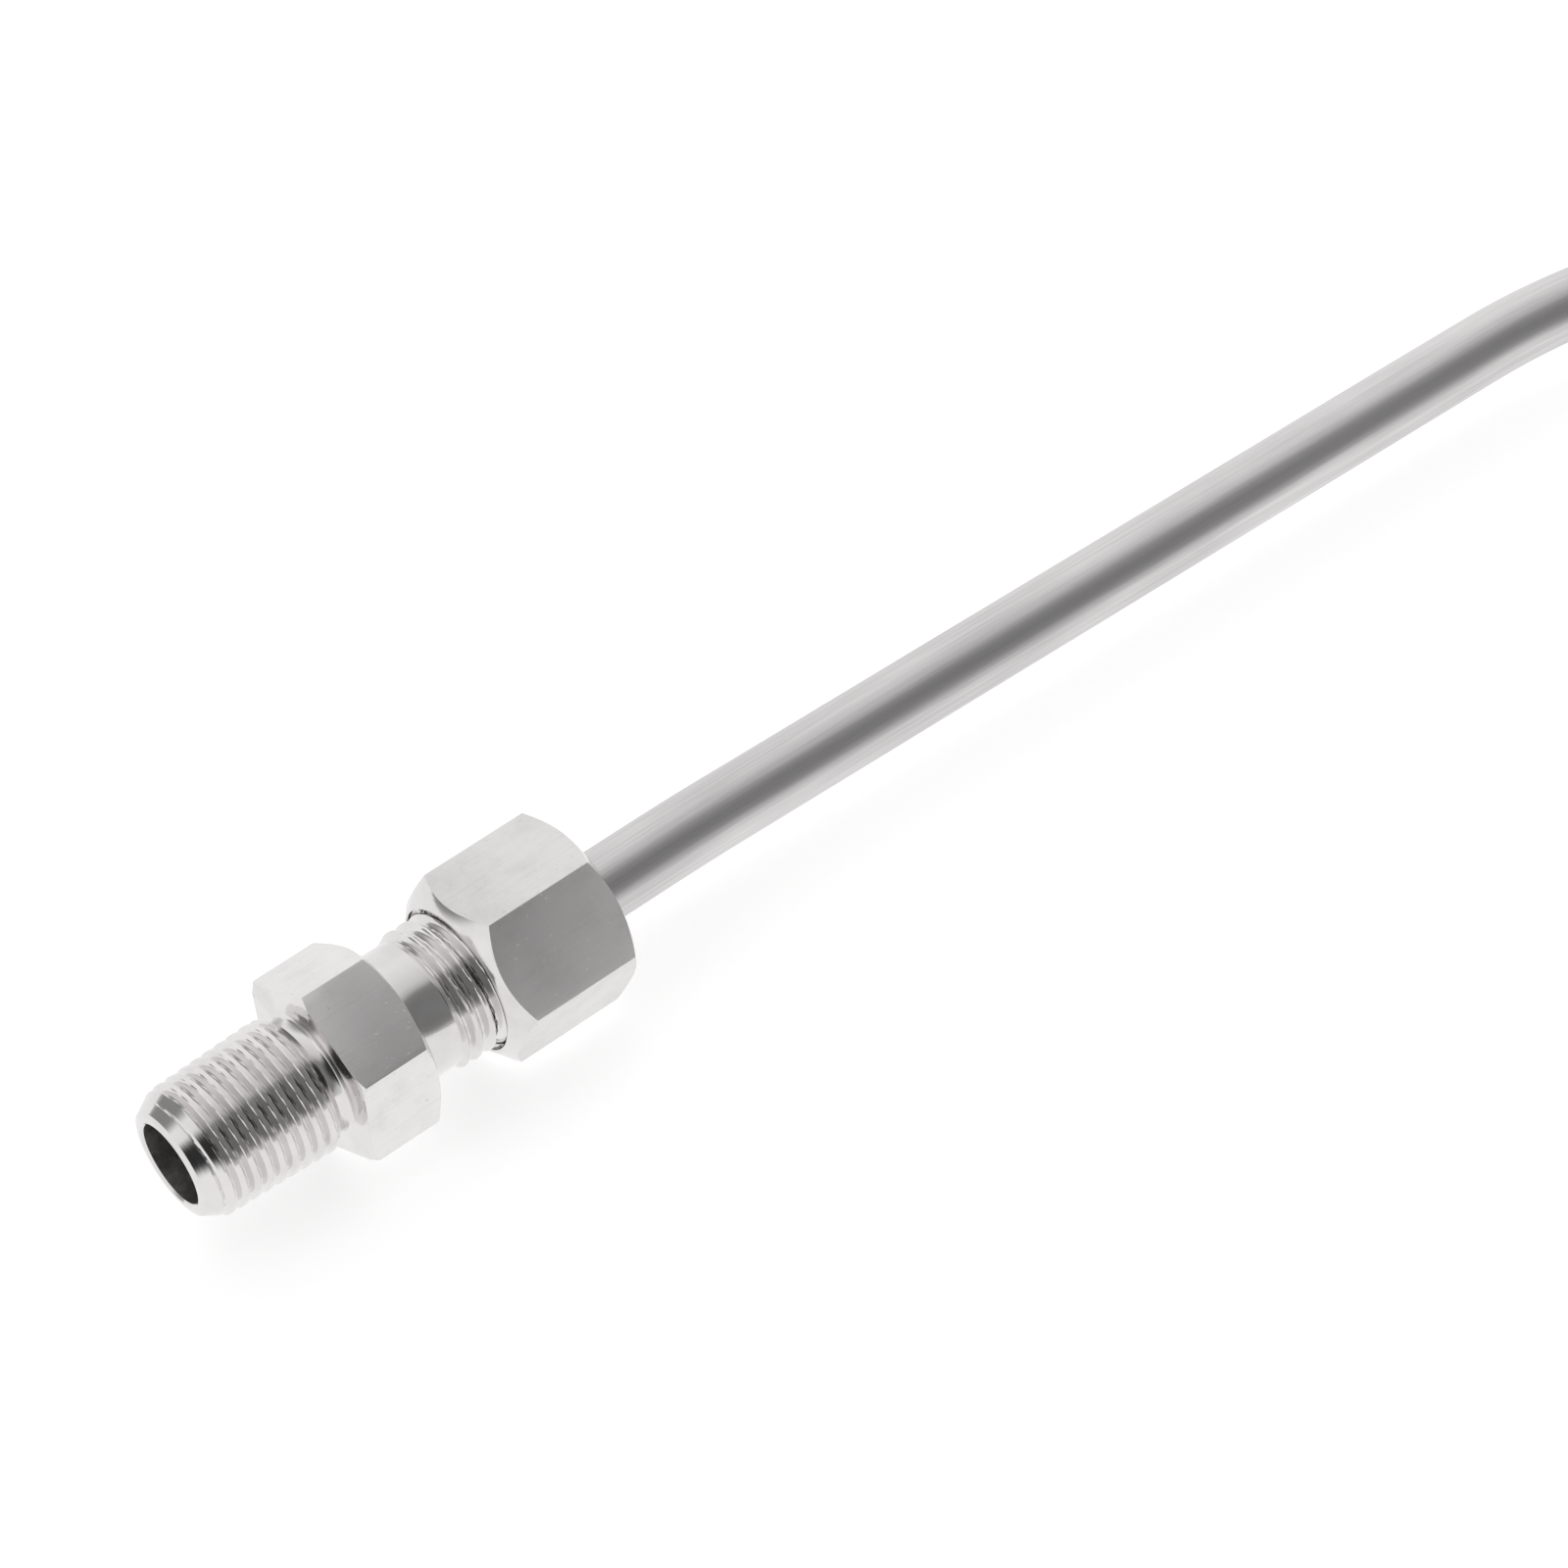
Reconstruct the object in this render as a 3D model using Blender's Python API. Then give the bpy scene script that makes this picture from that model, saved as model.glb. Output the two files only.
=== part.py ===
"""Sheathed thermocouple probe in a screw-in compression gland.

Metres, +Z up. X is the gland's axis: the taper thread points to -X and the sheath leaves to +X.
The origin is on the axis, at the front face of the body's hexagon.
"""
import math

import bmesh
import bpy
from mathutils import Matrix, Vector

MM = 0.001
TURN = 2.0 * math.pi

# Clearances
SEAT_GAP = 0.15 * MM
THREAD_GAP = 0.3 * MM
SLIDE_GAP = 0.15 * MM
GUIDE_GAP = 0.25 * MM
EXIT_GAP = 0.4 * MM
WELD_GAP = 0.1 * MM

# Taper pipe thread, size 1/4, at its crests
TAPER_NOSE_DIAMETER = 12.85 * MM
TAPER_RATE = 1.0 / 16.0
TAPER_LENGTH = 15.6 * MM
TAPER_PITCH = 1.337 * MM
TAPER_GROOVE_DEPTH = 0.62 * MM
NOSE_RIM_DIAMETER = 10.4 * MM
NOSE_CHAMFER_LENGTH = 2.2 * MM
NOSE_BORE_DIAMETER = 8.2 * MM
NOSE_BORE_DEPTH = 20.0 * MM
BORE_STEP_ANGLE = math.radians(59.0)
BORE_EDGE_BREAK = 0.2 * MM
UNDERCUT_DIAMETER = 11.6 * MM
UNDERCUT_LENGTH = 2.2 * MM

# Collar hexagon
COLLAR_ACROSS_FLATS = 17.0 * MM
COLLAR_LENGTH = 7.8 * MM
COLLAR_CLOCKING = math.radians(24.5)
COLLAR_FRONT_BREAK = 0.35 * MM
COLLAR_REAR_CHAMFER = 0.85 * MM
CHAMFER_ANGLE = math.radians(30.0)

# Share of a pitch that a thread groove is wide at the crests
GROOVE_SHARE = 0.86

# Neck and parallel thread, M14 x 1.5, at its crests
NECK_DIAMETER = 12.8 * MM
NECK_LENGTH = 4.0 * MM
CROWN_DIAMETER = 13.9 * MM
CROWN_LENGTH = 12.2 * MM
CROWN_END_CHAMFER = 0.8 * MM
CROWN_PITCH = 1.5 * MM
CROWN_GROOVE_DEPTH = 0.72 * MM
CONE_HALF_ANGLE = math.radians(12.0)
CONE_MOUTH_DIAMETER = 10.0 * MM

# Compression nut
NUT_ACROSS_FLATS = 17.0 * MM
NUT_LENGTH = 14.0 * MM
NUT_CLOCKING = math.radians(47.8)
NUT_ENGAGEMENT = 8.0 * MM
NUT_FRONT_CHAMFER = 1.9 * MM
NUT_FRONT_ANGLE = math.radians(42.0)
NUT_REAR_CHAMFER = 1.0 * MM
NUT_REAR_ANGLE = math.radians(35.0)
NUT_THREAD_DEPTH = 9.6 * MM
NUT_CONE_ANGLE = math.radians(45.0)
NUT_MOUTH_BREAK = 0.3 * MM

# Ferrule and thrust ring
FERRULE_DEPTH = 3.4 * MM
FERRULE_STAND_OUT = 0.8 * MM
RING_DIAMETER = 12.0 * MM
RING_BACK_DIAMETER = 8.8 * MM

# Sheath and its route
SHEATH_DIAMETER = 7.0 * MM
SHEATH_WALL = 0.8 * MM
TIP_DEPTH = 21.6 * MM
STRAIGHT_BEHIND_NUT = 8.0 * MM
SET_RADIUS = 296.0 * MM
SET_ANGLE = math.radians(1.8)
LONG_RUN = 95.0 * MM
BEND_RADIUS = 80.0 * MM
BEND_ANGLE = math.radians(40.0)
LAST_RUN = 32.0 * MM

# Tip
PLUG_SPIGOT_LENGTH = 2.4 * MM
PLUG_CAP_LENGTH = 1.0 * MM
PLUG_DOME_HEIGHT = 0.9 * MM
JUNCTION_DIAMETER = 3.2 * MM
JUNCTION_LENGTH = 2.4 * MM

# Conductors and their insulation
WIRE_DIAMETER = 0.6 * MM
WIRE_SPACING = 2.1 * MM
BEAD_DIAMETER = 4.4 * MM
BEAD_COUNT = 20
BEAD_BORE_DIAMETER = 1.2 * MM
BEAD_GAP = 0.6 * MM
SEAL_LENGTH = 6.0 * MM
SEAL_STAND_OUT = 0.6 * MM
TAIL_LENGTH = 16.0 * MM
TAIL_BARE_LENGTH = 5.0 * MM
TAIL_SLEEVE_DIAMETER = 1.8 * MM

# Facets
ROUND_SIDES = 48
SHEATH_SIDES = 32
BEAD_SIDES = 16
FINE_SIDES = 10
SMOOTH_ANGLE = math.radians(30.0)
BEND_STEP = math.radians(3.0)
MERGE_DISTANCE = 0.0005 * MM

# Places along the axis
NOSE_X = -TAPER_LENGTH
NECK_X = COLLAR_LENGTH
CROWN_X = NECK_X + NECK_LENGTH
BODY_END_X = CROWN_X + CROWN_LENGTH
NUT_X = BODY_END_X - NUT_ENGAGEMENT
NUT_END_X = NUT_X + NUT_LENGTH
SHEATH_TIP_X = NOSE_X + TIP_DEPTH
FIRST_RUN = NUT_END_X + STRAIGHT_BEHIND_NUT - SHEATH_TIP_X

# Radii that several pieces share
GUIDE_RADIUS = SHEATH_DIAMETER / 2.0 + GUIDE_GAP
SLIDE_RADIUS = SHEATH_DIAMETER / 2.0 + SLIDE_GAP
EXIT_RADIUS = SHEATH_DIAMETER / 2.0 + EXIT_GAP
SHEATH_BORE_RADIUS = SHEATH_DIAMETER / 2.0 - SHEATH_WALL
CONE_MOUTH_RADIUS = CONE_MOUTH_DIAMETER / 2.0
NUT_THREAD_RADIUS = CROWN_DIAMETER / 2.0 + THREAD_GAP

# The sheath's route: straight runs, and bends to the right seen from above
ROUTE = (
    (FIRST_RUN, 0.0),
    (SET_RADIUS * SET_ANGLE, SET_ANGLE),
    (LONG_RUN, 0.0),
    (BEND_RADIUS * BEND_ANGLE, BEND_ANGLE),
    (LAST_RUN, 0.0),
)
SHEATH_LENGTH = sum(length for length, angle in ROUTE)


def clear_scene():
    for item in list(bpy.data.objects):
        bpy.data.objects.remove(item, do_unlink=True)


def make_material(name, colour, roughness, metallic):
    material = bpy.data.materials.new(name)
    material.use_nodes = True
    shader = material.node_tree.nodes["Principled BSDF"]
    shader.inputs["Base Color"].default_value = (*colour, 1.0)
    shader.inputs["Roughness"].default_value = roughness
    shader.inputs["Metallic"].default_value = metallic
    return material


def make_empty(name, x):
    empty = bpy.data.objects.new(name, None)
    empty.location = (x, 0.0, 0.0)
    bpy.context.collection.objects.link(empty)
    return empty


def finish_mesh(bm, name):
    bmesh.ops.remove_doubles(bm, verts=bm.verts, dist=MERGE_DISTANCE)
    bmesh.ops.recalc_face_normals(bm, faces=bm.faces)
    mesh = bpy.data.meshes.new(name)
    bm.to_mesh(mesh)
    bm.free()
    mesh.shade_smooth()
    mesh.set_sharp_from_angle(angle=SMOOTH_ANGLE)
    return mesh


def place(name, mesh, material, parent=None, location=(0.0, 0.0, 0.0), heading=0.0):
    """Link a piece, in its parent's space when it has one; heading turns it to the right about Z."""
    piece = bpy.data.objects.new(name, mesh)
    if not mesh.materials:
        mesh.materials.append(material)
    piece.parent = parent
    piece.location = location
    piece.rotation_euler = (0.0, 0.0, -heading)
    bpy.context.collection.objects.link(piece)
    return piece


def turn_profile(profile, sides, closed=True):
    """Turn a list of (x, radius) corners about X; an open profile starts and ends on the axis."""
    bm = bmesh.new()
    corners = [bm.verts.new((x, 0.0, radius)) for x, radius in profile]
    edges = [bm.edges.new(pair) for pair in zip(corners, corners[1:])]
    if closed:
        edges.append(bm.edges.new((corners[-1], corners[0])))
    bmesh.ops.spin(bm, geom=corners + edges, cent=(0.0, 0.0, 0.0), axis=(1.0, 0.0, 0.0),
                   angle=TURN, steps=sides, use_merge=True)
    bmesh.ops.remove_doubles(bm, verts=bm.verts, dist=MERGE_DISTANCE)
    bmesh.ops.recalc_face_normals(bm, faces=bm.faces)
    return bm


def flat_normal(clocking, index):
    """Outward normal of a hexagon flat; clocking is measured from +Z towards -Y."""
    angle = clocking + index * TURN / 6.0
    return Vector((0.0, -math.sin(angle), math.cos(angle)))


def mill_hexagon(bm, across_flats, clocking):
    """Mill six flats on a turned blank, so that its cone chamfers leave curved edges on them."""
    for index in range(6):
        normal = flat_normal(clocking, index)
        cut = bmesh.ops.bisect_plane(bm, geom=bm.verts[:] + bm.edges[:] + bm.faces[:],
                                     dist=MERGE_DISTANCE, plane_co=normal * across_flats / 2.0,
                                     plane_no=normal, clear_outer=True)
        rim = [item for item in cut["geom_cut"] if isinstance(item, bmesh.types.BMEdge)]
        bmesh.ops.contextual_create(bm, geom=rim)


def corner_radius(across_flats):
    return across_flats / 2.0 / math.cos(TURN / 12.0)


def taper_radius(x):
    return (TAPER_NOSE_DIAMETER + (x - NOSE_X) * TAPER_RATE) / 2.0


def thread_grooves(start_x, end_x, pitch, depth, crest_radius):
    """Profile points of V grooves, one a pitch; rings stand for the thread's helix."""
    half_width = pitch * GROOVE_SHARE / 2.0
    points = []
    for index in range(int((end_x - start_x) / pitch)):
        root_x = start_x + (index + 0.5) * pitch
        points.append((root_x - half_width, crest_radius(root_x - half_width)))
        points.append((root_x, crest_radius(root_x) - depth))
        points.append((root_x + half_width, crest_radius(root_x + half_width)))
    return points


def cone_seat_radius(x):
    """The body's inner cone, which narrows from its mouth at the body's end."""
    return CONE_MOUTH_RADIUS - (BODY_END_X - x) * math.tan(CONE_HALF_ANGLE)


def nut_cone_x(radius):
    """Where the nut's inner cone has this radius."""
    return NUT_X + NUT_THREAD_DEPTH + (NUT_THREAD_RADIUS - radius) / math.tan(NUT_CONE_ANGLE)


def build_fitting_body(steel):
    bore = NOSE_BORE_DIAMETER / 2.0
    undercut = UNDERCUT_DIAMETER / 2.0
    taper_end_x = -UNDERCUT_LENGTH
    chamfer_x = NOSE_X + NOSE_CHAMFER_LENGTH
    corner = corner_radius(COLLAR_ACROSS_FLATS)
    crown = CROWN_DIAMETER / 2.0
    neck = NECK_DIAMETER / 2.0
    crown_start_x = CROWN_X + crown - neck
    crown_end_x = BODY_END_X - CROWN_END_CHAMFER
    step_x = NOSE_X + NOSE_BORE_DEPTH
    cone_bottom_x = BODY_END_X - (CONE_MOUTH_RADIUS - GUIDE_RADIUS) / math.tan(CONE_HALF_ANGLE)
    profile = [
        (NOSE_X, bore + BORE_EDGE_BREAK),
        (NOSE_X, NOSE_RIM_DIAMETER / 2.0),
        (chamfer_x, taper_radius(chamfer_x)),
        *thread_grooves(chamfer_x, taper_end_x, TAPER_PITCH, TAPER_GROOVE_DEPTH, taper_radius),
        (taper_end_x, taper_radius(taper_end_x)),
        (taper_end_x + taper_radius(taper_end_x) - undercut, undercut),
        (0.0, undercut),
        (0.0, corner - COLLAR_FRONT_BREAK / math.tan(CHAMFER_ANGLE)),
        (COLLAR_FRONT_BREAK, corner),
        (NECK_X - COLLAR_REAR_CHAMFER, corner),
        (NECK_X, corner - COLLAR_REAR_CHAMFER / math.tan(CHAMFER_ANGLE)),
        (NECK_X, neck),
        (CROWN_X, neck),
        (crown_start_x, crown),
        *thread_grooves(crown_start_x, crown_end_x, CROWN_PITCH, CROWN_GROOVE_DEPTH, lambda x: crown),
        (crown_end_x, crown),
        (BODY_END_X, crown - CROWN_END_CHAMFER),
        (BODY_END_X, CONE_MOUTH_RADIUS),
        (cone_bottom_x, GUIDE_RADIUS),
        (step_x + (bore - GUIDE_RADIUS) / math.tan(BORE_STEP_ANGLE), GUIDE_RADIUS),
        (step_x, bore),
        (NOSE_X + BORE_EDGE_BREAK, bore),
    ]
    bm = turn_profile(profile, ROUND_SIDES)
    mill_hexagon(bm, COLLAR_ACROSS_FLATS, COLLAR_CLOCKING)
    return place("fitting_body", finish_mesh(bm, "fitting_body"), steel)


def build_nut(steel, parent):
    corner = corner_radius(NUT_ACROSS_FLATS)
    mouth = NUT_THREAD_RADIUS
    profile = [
        (NUT_X, mouth + NUT_MOUTH_BREAK),
        (NUT_X, corner - NUT_FRONT_CHAMFER / math.tan(NUT_FRONT_ANGLE)),
        (NUT_X + NUT_FRONT_CHAMFER, corner),
        (NUT_END_X - NUT_REAR_CHAMFER, corner),
        (NUT_END_X, corner - NUT_REAR_CHAMFER / math.tan(NUT_REAR_ANGLE)),
        (NUT_END_X, EXIT_RADIUS),
        (nut_cone_x(EXIT_RADIUS), EXIT_RADIUS),
        (NUT_X + NUT_THREAD_DEPTH, mouth),
        (NUT_X + NUT_MOUTH_BREAK, mouth),
    ]
    profile = [(x - NUT_X, radius) for x, radius in profile]
    bm = turn_profile(profile, ROUND_SIDES)
    mill_hexagon(bm, NUT_ACROSS_FLATS, NUT_CLOCKING)
    return place("compression_nut", finish_mesh(bm, "compression_nut"), steel, parent)


def build_ferrule(polymer, parent):
    """The soft cone: it fills the body's inner cone and stands out a little for the ring to press on."""
    front_x = BODY_END_X - FERRULE_DEPTH
    back_x = BODY_END_X + FERRULE_STAND_OUT
    side_gap = SEAT_GAP / math.cos(CONE_HALF_ANGLE)
    back_radius = CONE_MOUTH_RADIUS - side_gap
    profile = [
        (front_x, SLIDE_RADIUS),
        (front_x, cone_seat_radius(front_x) - side_gap),
        (BODY_END_X, back_radius),
        (back_x, back_radius),
        (back_x, SLIDE_RADIUS),
    ]
    profile = [(x - BODY_END_X, radius) for x, radius in profile]
    bm = turn_profile(profile, ROUND_SIDES)
    return place("sealing_ferrule", finish_mesh(bm, "sealing_ferrule"), polymer, parent)


def build_thrust_ring(steel, parent):
    front_x = BODY_END_X + FERRULE_STAND_OUT + SEAT_GAP
    outer = RING_DIAMETER / 2.0
    back = RING_BACK_DIAMETER / 2.0
    cone_gap = SEAT_GAP / math.sin(NUT_CONE_ANGLE)
    profile = [
        (front_x, SLIDE_RADIUS),
        (front_x, outer),
        (nut_cone_x(outer) - cone_gap, outer),
        (nut_cone_x(back) - cone_gap, back),
        (nut_cone_x(back) - cone_gap, SLIDE_RADIUS),
    ]
    profile = [(x - NUT_X, radius) for x, radius in profile]
    bm = turn_profile(profile, ROUND_SIDES)
    return place("thrust_ring", finish_mesh(bm, "thrust_ring"), steel, parent)


def route_at(distance):
    """Point on the sheath's centre line and its heading, measured from the tip along the route."""
    point = Vector((0.0, 0.0, 0.0))
    heading = 0.0
    left = distance
    for index, (length, angle) in enumerate(ROUTE):
        last = index == len(ROUTE) - 1
        run = left if last else min(left, length)
        if angle:
            radius = length / angle
            turned = run / radius
            point.x += radius * (math.sin(heading + turned) - math.sin(heading))
            point.y += radius * (math.cos(heading + turned) - math.cos(heading))
            heading += turned
        else:
            point.x += run * math.cos(heading)
            point.y -= run * math.sin(heading)
        left -= run
    return point, heading


def route_pieces(end):
    """The route's runs, with the last one lengthened so that it stops at the given distance."""
    return ROUTE[:-1] + ((LAST_RUN + end - SHEATH_LENGTH, 0.0),)


def advance(bm, region, start, end, angle):
    """Carry an end face along one run: extruded where it is straight, spun where it bends."""
    point, heading = route_at(start)
    if angle:
        radius = (end - start) / angle
        centre = point + radius * Vector((-math.sin(heading), -math.cos(heading), 0.0))
        steps = max(2, math.ceil(angle / BEND_STEP))
        moved = bmesh.ops.spin(bm, geom=region, cent=centre, axis=(0.0, 0.0, 1.0), angle=-angle,
                               steps=steps)["geom_last"]
    else:
        moved = bmesh.ops.extrude_face_region(bm, geom=region)["geom"]
        verts = [item for item in moved if isinstance(item, bmesh.types.BMVert)]
        bmesh.ops.translate(bm, verts=verts, vec=route_at(end)[0] - point)
    return [item for item in moved if isinstance(item, bmesh.types.BMFace)]


def sweep_along_route(bm, start, end):
    """Sweep the end face that the mesh holds, drawn across the axis, from start to end on the route."""
    point, heading = route_at(start)
    turn = Matrix.Translation(point) @ Matrix.Rotation(-heading, 4, "Z")
    bmesh.ops.transform(bm, matrix=turn, verts=bm.verts)
    region = bm.faces[:]
    reached = 0.0
    for length, angle in route_pieces(end):
        passed = region
        region = advance(bm, passed, max(start, reached), reached + length, angle)
        if reached > 0.0:
            bmesh.ops.delete(bm, geom=passed, context="FACES")
        reached += length


def build_sheath(steel, parent):
    bm = bmesh.new()
    across = Matrix.Rotation(TURN / 4.0, 4, "Y")
    bmesh.ops.create_circle(bm, radius=SHEATH_DIAMETER / 2.0, segments=SHEATH_SIDES, matrix=across)
    inner = bmesh.ops.extrude_edge_only(bm, edges=bm.edges[:])["geom"]
    inner_verts = [item for item in inner if isinstance(item, bmesh.types.BMVert)]
    shrink = SHEATH_BORE_RADIUS / (SHEATH_DIAMETER / 2.0)
    bmesh.ops.scale(bm, vec=(1.0, shrink, shrink), verts=inner_verts)
    sweep_along_route(bm, 0.0, SHEATH_LENGTH)
    return place("sheath_tube", finish_mesh(bm, "sheath_tube"), steel, parent)


def build_wire(name, metal, parent, side):
    start = PLUG_SPIGOT_LENGTH + WELD_GAP + JUNCTION_LENGTH + WELD_GAP
    bm = bmesh.new()
    shift = Matrix.Translation((0.0, 0.0, side * WIRE_SPACING / 2.0))
    bmesh.ops.create_circle(bm, cap_ends=True, radius=WIRE_DIAMETER / 2.0, segments=FINE_SIDES,
                            matrix=shift @ Matrix.Rotation(TURN / 4.0, 4, "Y"))
    sweep_along_route(bm, start, SHEATH_LENGTH + TAIL_LENGTH)
    return place(name, finish_mesh(bm, name), metal, parent)


def build_tip_plug(steel, parent):
    """Welded end of the sheath: a domed cap with a spigot in the tube's bore."""
    cap = SHEATH_DIAMETER / 2.0
    spigot = SHEATH_BORE_RADIUS - SEAT_GAP
    face_x = -SEAT_GAP
    rim_x = face_x - PLUG_CAP_LENGTH
    dome_steps = 4
    dome = []
    for step in range(dome_steps + 1):
        angle = step * TURN / 4.0 / dome_steps
        dome.append((rim_x - PLUG_DOME_HEIGHT * math.cos(angle), cap * math.sin(angle)))
    profile = dome + [(face_x, cap), (face_x, spigot), (PLUG_SPIGOT_LENGTH, spigot), (PLUG_SPIGOT_LENGTH, 0.0)]
    bm = turn_profile(profile, SHEATH_SIDES, closed=False)
    return place("tip_plug", finish_mesh(bm, "tip_plug"), steel, parent)


def build_hot_junction(metal, parent):
    """The bead that the two conductors are welded into."""
    radius = JUNCTION_DIAMETER / 2.0
    start = PLUG_SPIGOT_LENGTH + WELD_GAP
    bead_steps = 6
    profile = []
    for step in range(bead_steps + 1):
        angle = step * TURN / 2.0 / bead_steps
        profile.append((start + JUNCTION_LENGTH * (1.0 - math.cos(angle)) / 2.0, radius * math.sin(angle)))
    bm = turn_profile(profile, BEAD_SIDES, closed=False)
    return place("hot_junction", finish_mesh(bm, "hot_junction"), metal, parent)


def twin_bore_mesh(name, diameter, length, sides):
    """A round bar with two bores for the conductors, centred on its own length."""
    bm = bmesh.new()
    across = Matrix.Rotation(TURN / 4.0, 4, "Y")
    bmesh.ops.create_circle(bm, radius=diameter / 2.0, segments=sides, matrix=across)
    for side in (1.0, -1.0):
        shift = Matrix.Translation((0.0, 0.0, side * WIRE_SPACING / 2.0))
        bmesh.ops.create_circle(bm, radius=BEAD_BORE_DIAMETER / 2.0, segments=FINE_SIDES, matrix=shift @ across)
    bmesh.ops.translate(bm, verts=bm.verts, vec=(-length / 2.0, 0.0, 0.0))
    bmesh.ops.triangle_fill(bm, use_beauty=True, use_dissolve=False, edges=bm.edges)
    pulled = bmesh.ops.extrude_face_region(bm, geom=bm.faces[:], use_keep_orig=True)["geom"]
    verts = [item for item in pulled if isinstance(item, bmesh.types.BMVert)]
    bmesh.ops.translate(bm, verts=verts, vec=(length, 0.0, 0.0))
    return finish_mesh(bm, name)


def build_beads(ceramic, parent):
    """A chain of equal beads that fills the sheath from the junction to the seal."""
    start = PLUG_SPIGOT_LENGTH + JUNCTION_LENGTH + 2.0 * WELD_GAP + BEAD_GAP
    end = SHEATH_LENGTH + SEAL_STAND_OUT - SEAL_LENGTH
    pitch = (end - start) / BEAD_COUNT
    length = pitch - BEAD_GAP
    mesh = twin_bore_mesh("insulator_bead", BEAD_DIAMETER, length, BEAD_SIDES)
    for index in range(BEAD_COUNT):
        point, heading = route_at(start + index * pitch + length / 2.0)
        place(f"insulator_bead_{index + 1:02d}", mesh, ceramic, parent, point, heading)


def build_cold_end(resin, sleeve, parent):
    """Resin seal in the sheath's open end, and a sleeve on each wire tail past it."""
    diameter = 2.0 * (SHEATH_BORE_RADIUS - SEAT_GAP)
    mesh = twin_bore_mesh("potting_seal", diameter, SEAL_LENGTH, SHEATH_SIDES)
    point, heading = route_at(SHEATH_LENGTH + SEAL_STAND_OUT - SEAL_LENGTH / 2.0)
    place("potting_seal", mesh, resin, parent, point, heading)
    sleeve_start = SEAL_STAND_OUT + SEAT_GAP
    sleeve_length = TAIL_LENGTH - TAIL_BARE_LENGTH - sleeve_start
    profile = [
        (0.0, WIRE_DIAMETER / 2.0 + SEAT_GAP),
        (0.0, TAIL_SLEEVE_DIAMETER / 2.0),
        (sleeve_length, TAIL_SLEEVE_DIAMETER / 2.0),
        (sleeve_length, WIRE_DIAMETER / 2.0 + SEAT_GAP),
    ]
    point, heading = route_at(SHEATH_LENGTH + sleeve_start)
    for name, side in (("positive_tail_sleeve", 1.0), ("negative_tail_sleeve", -1.0)):
        mesh = finish_mesh(turn_profile(profile, BEAD_SIDES), name)
        spot = point + Vector((0.0, 0.0, side * WIRE_SPACING / 2.0))
        place(name, mesh, sleeve[side], parent, spot, heading)


def main():
    clear_scene()
    plated_steel = make_material("plated_steel", (0.66, 0.65, 0.65), 0.22, 1.0)
    sheath_steel = make_material("sheath_steel", (0.55, 0.54, 0.54), 0.38, 1.0)
    ring_steel = make_material("ring_steel", (0.60, 0.60, 0.61), 0.30, 1.0)
    ferrule_polymer = make_material("ferrule_polymer", (0.90, 0.90, 0.88), 0.45, 0.0)
    bead_ceramic = make_material("bead_ceramic", (0.92, 0.90, 0.84), 0.60, 0.0)
    positive_alloy = make_material("positive_alloy", (0.50, 0.48, 0.46), 0.35, 1.0)
    negative_alloy = make_material("negative_alloy", (0.42, 0.41, 0.41), 0.40, 1.0)
    junction_alloy = make_material("junction_alloy", (0.36, 0.35, 0.34), 0.50, 1.0)
    seal_resin = make_material("seal_resin", (0.05, 0.05, 0.055), 0.50, 0.0)
    red_sleeve = make_material("positive_sleeve", (0.62, 0.05, 0.04), 0.45, 0.0)
    blue_sleeve = make_material("negative_sleeve", (0.05, 0.12, 0.45), 0.45, 0.0)

    nut_axis = make_empty("nut_axis", NUT_X)
    ferrule_axis = make_empty("ferrule_axis", BODY_END_X)
    probe_axis = make_empty("probe_axis", SHEATH_TIP_X)

    build_fitting_body(plated_steel)
    build_nut(plated_steel, nut_axis)
    build_thrust_ring(ring_steel, nut_axis)
    build_ferrule(ferrule_polymer, ferrule_axis)
    build_sheath(sheath_steel, probe_axis)
    build_tip_plug(sheath_steel, probe_axis)
    build_hot_junction(junction_alloy, probe_axis)
    build_wire("positive_wire", positive_alloy, probe_axis, 1.0)
    build_wire("negative_wire", negative_alloy, probe_axis, -1.0)
    build_beads(bead_ceramic, probe_axis)
    build_cold_end(seal_resin, {1.0: red_sleeve, -1.0: blue_sleeve}, probe_axis)
    bpy.context.view_layer.update()


main()
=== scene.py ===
import math

import bmesh
import bpy
from mathutils import Matrix, Vector


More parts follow.
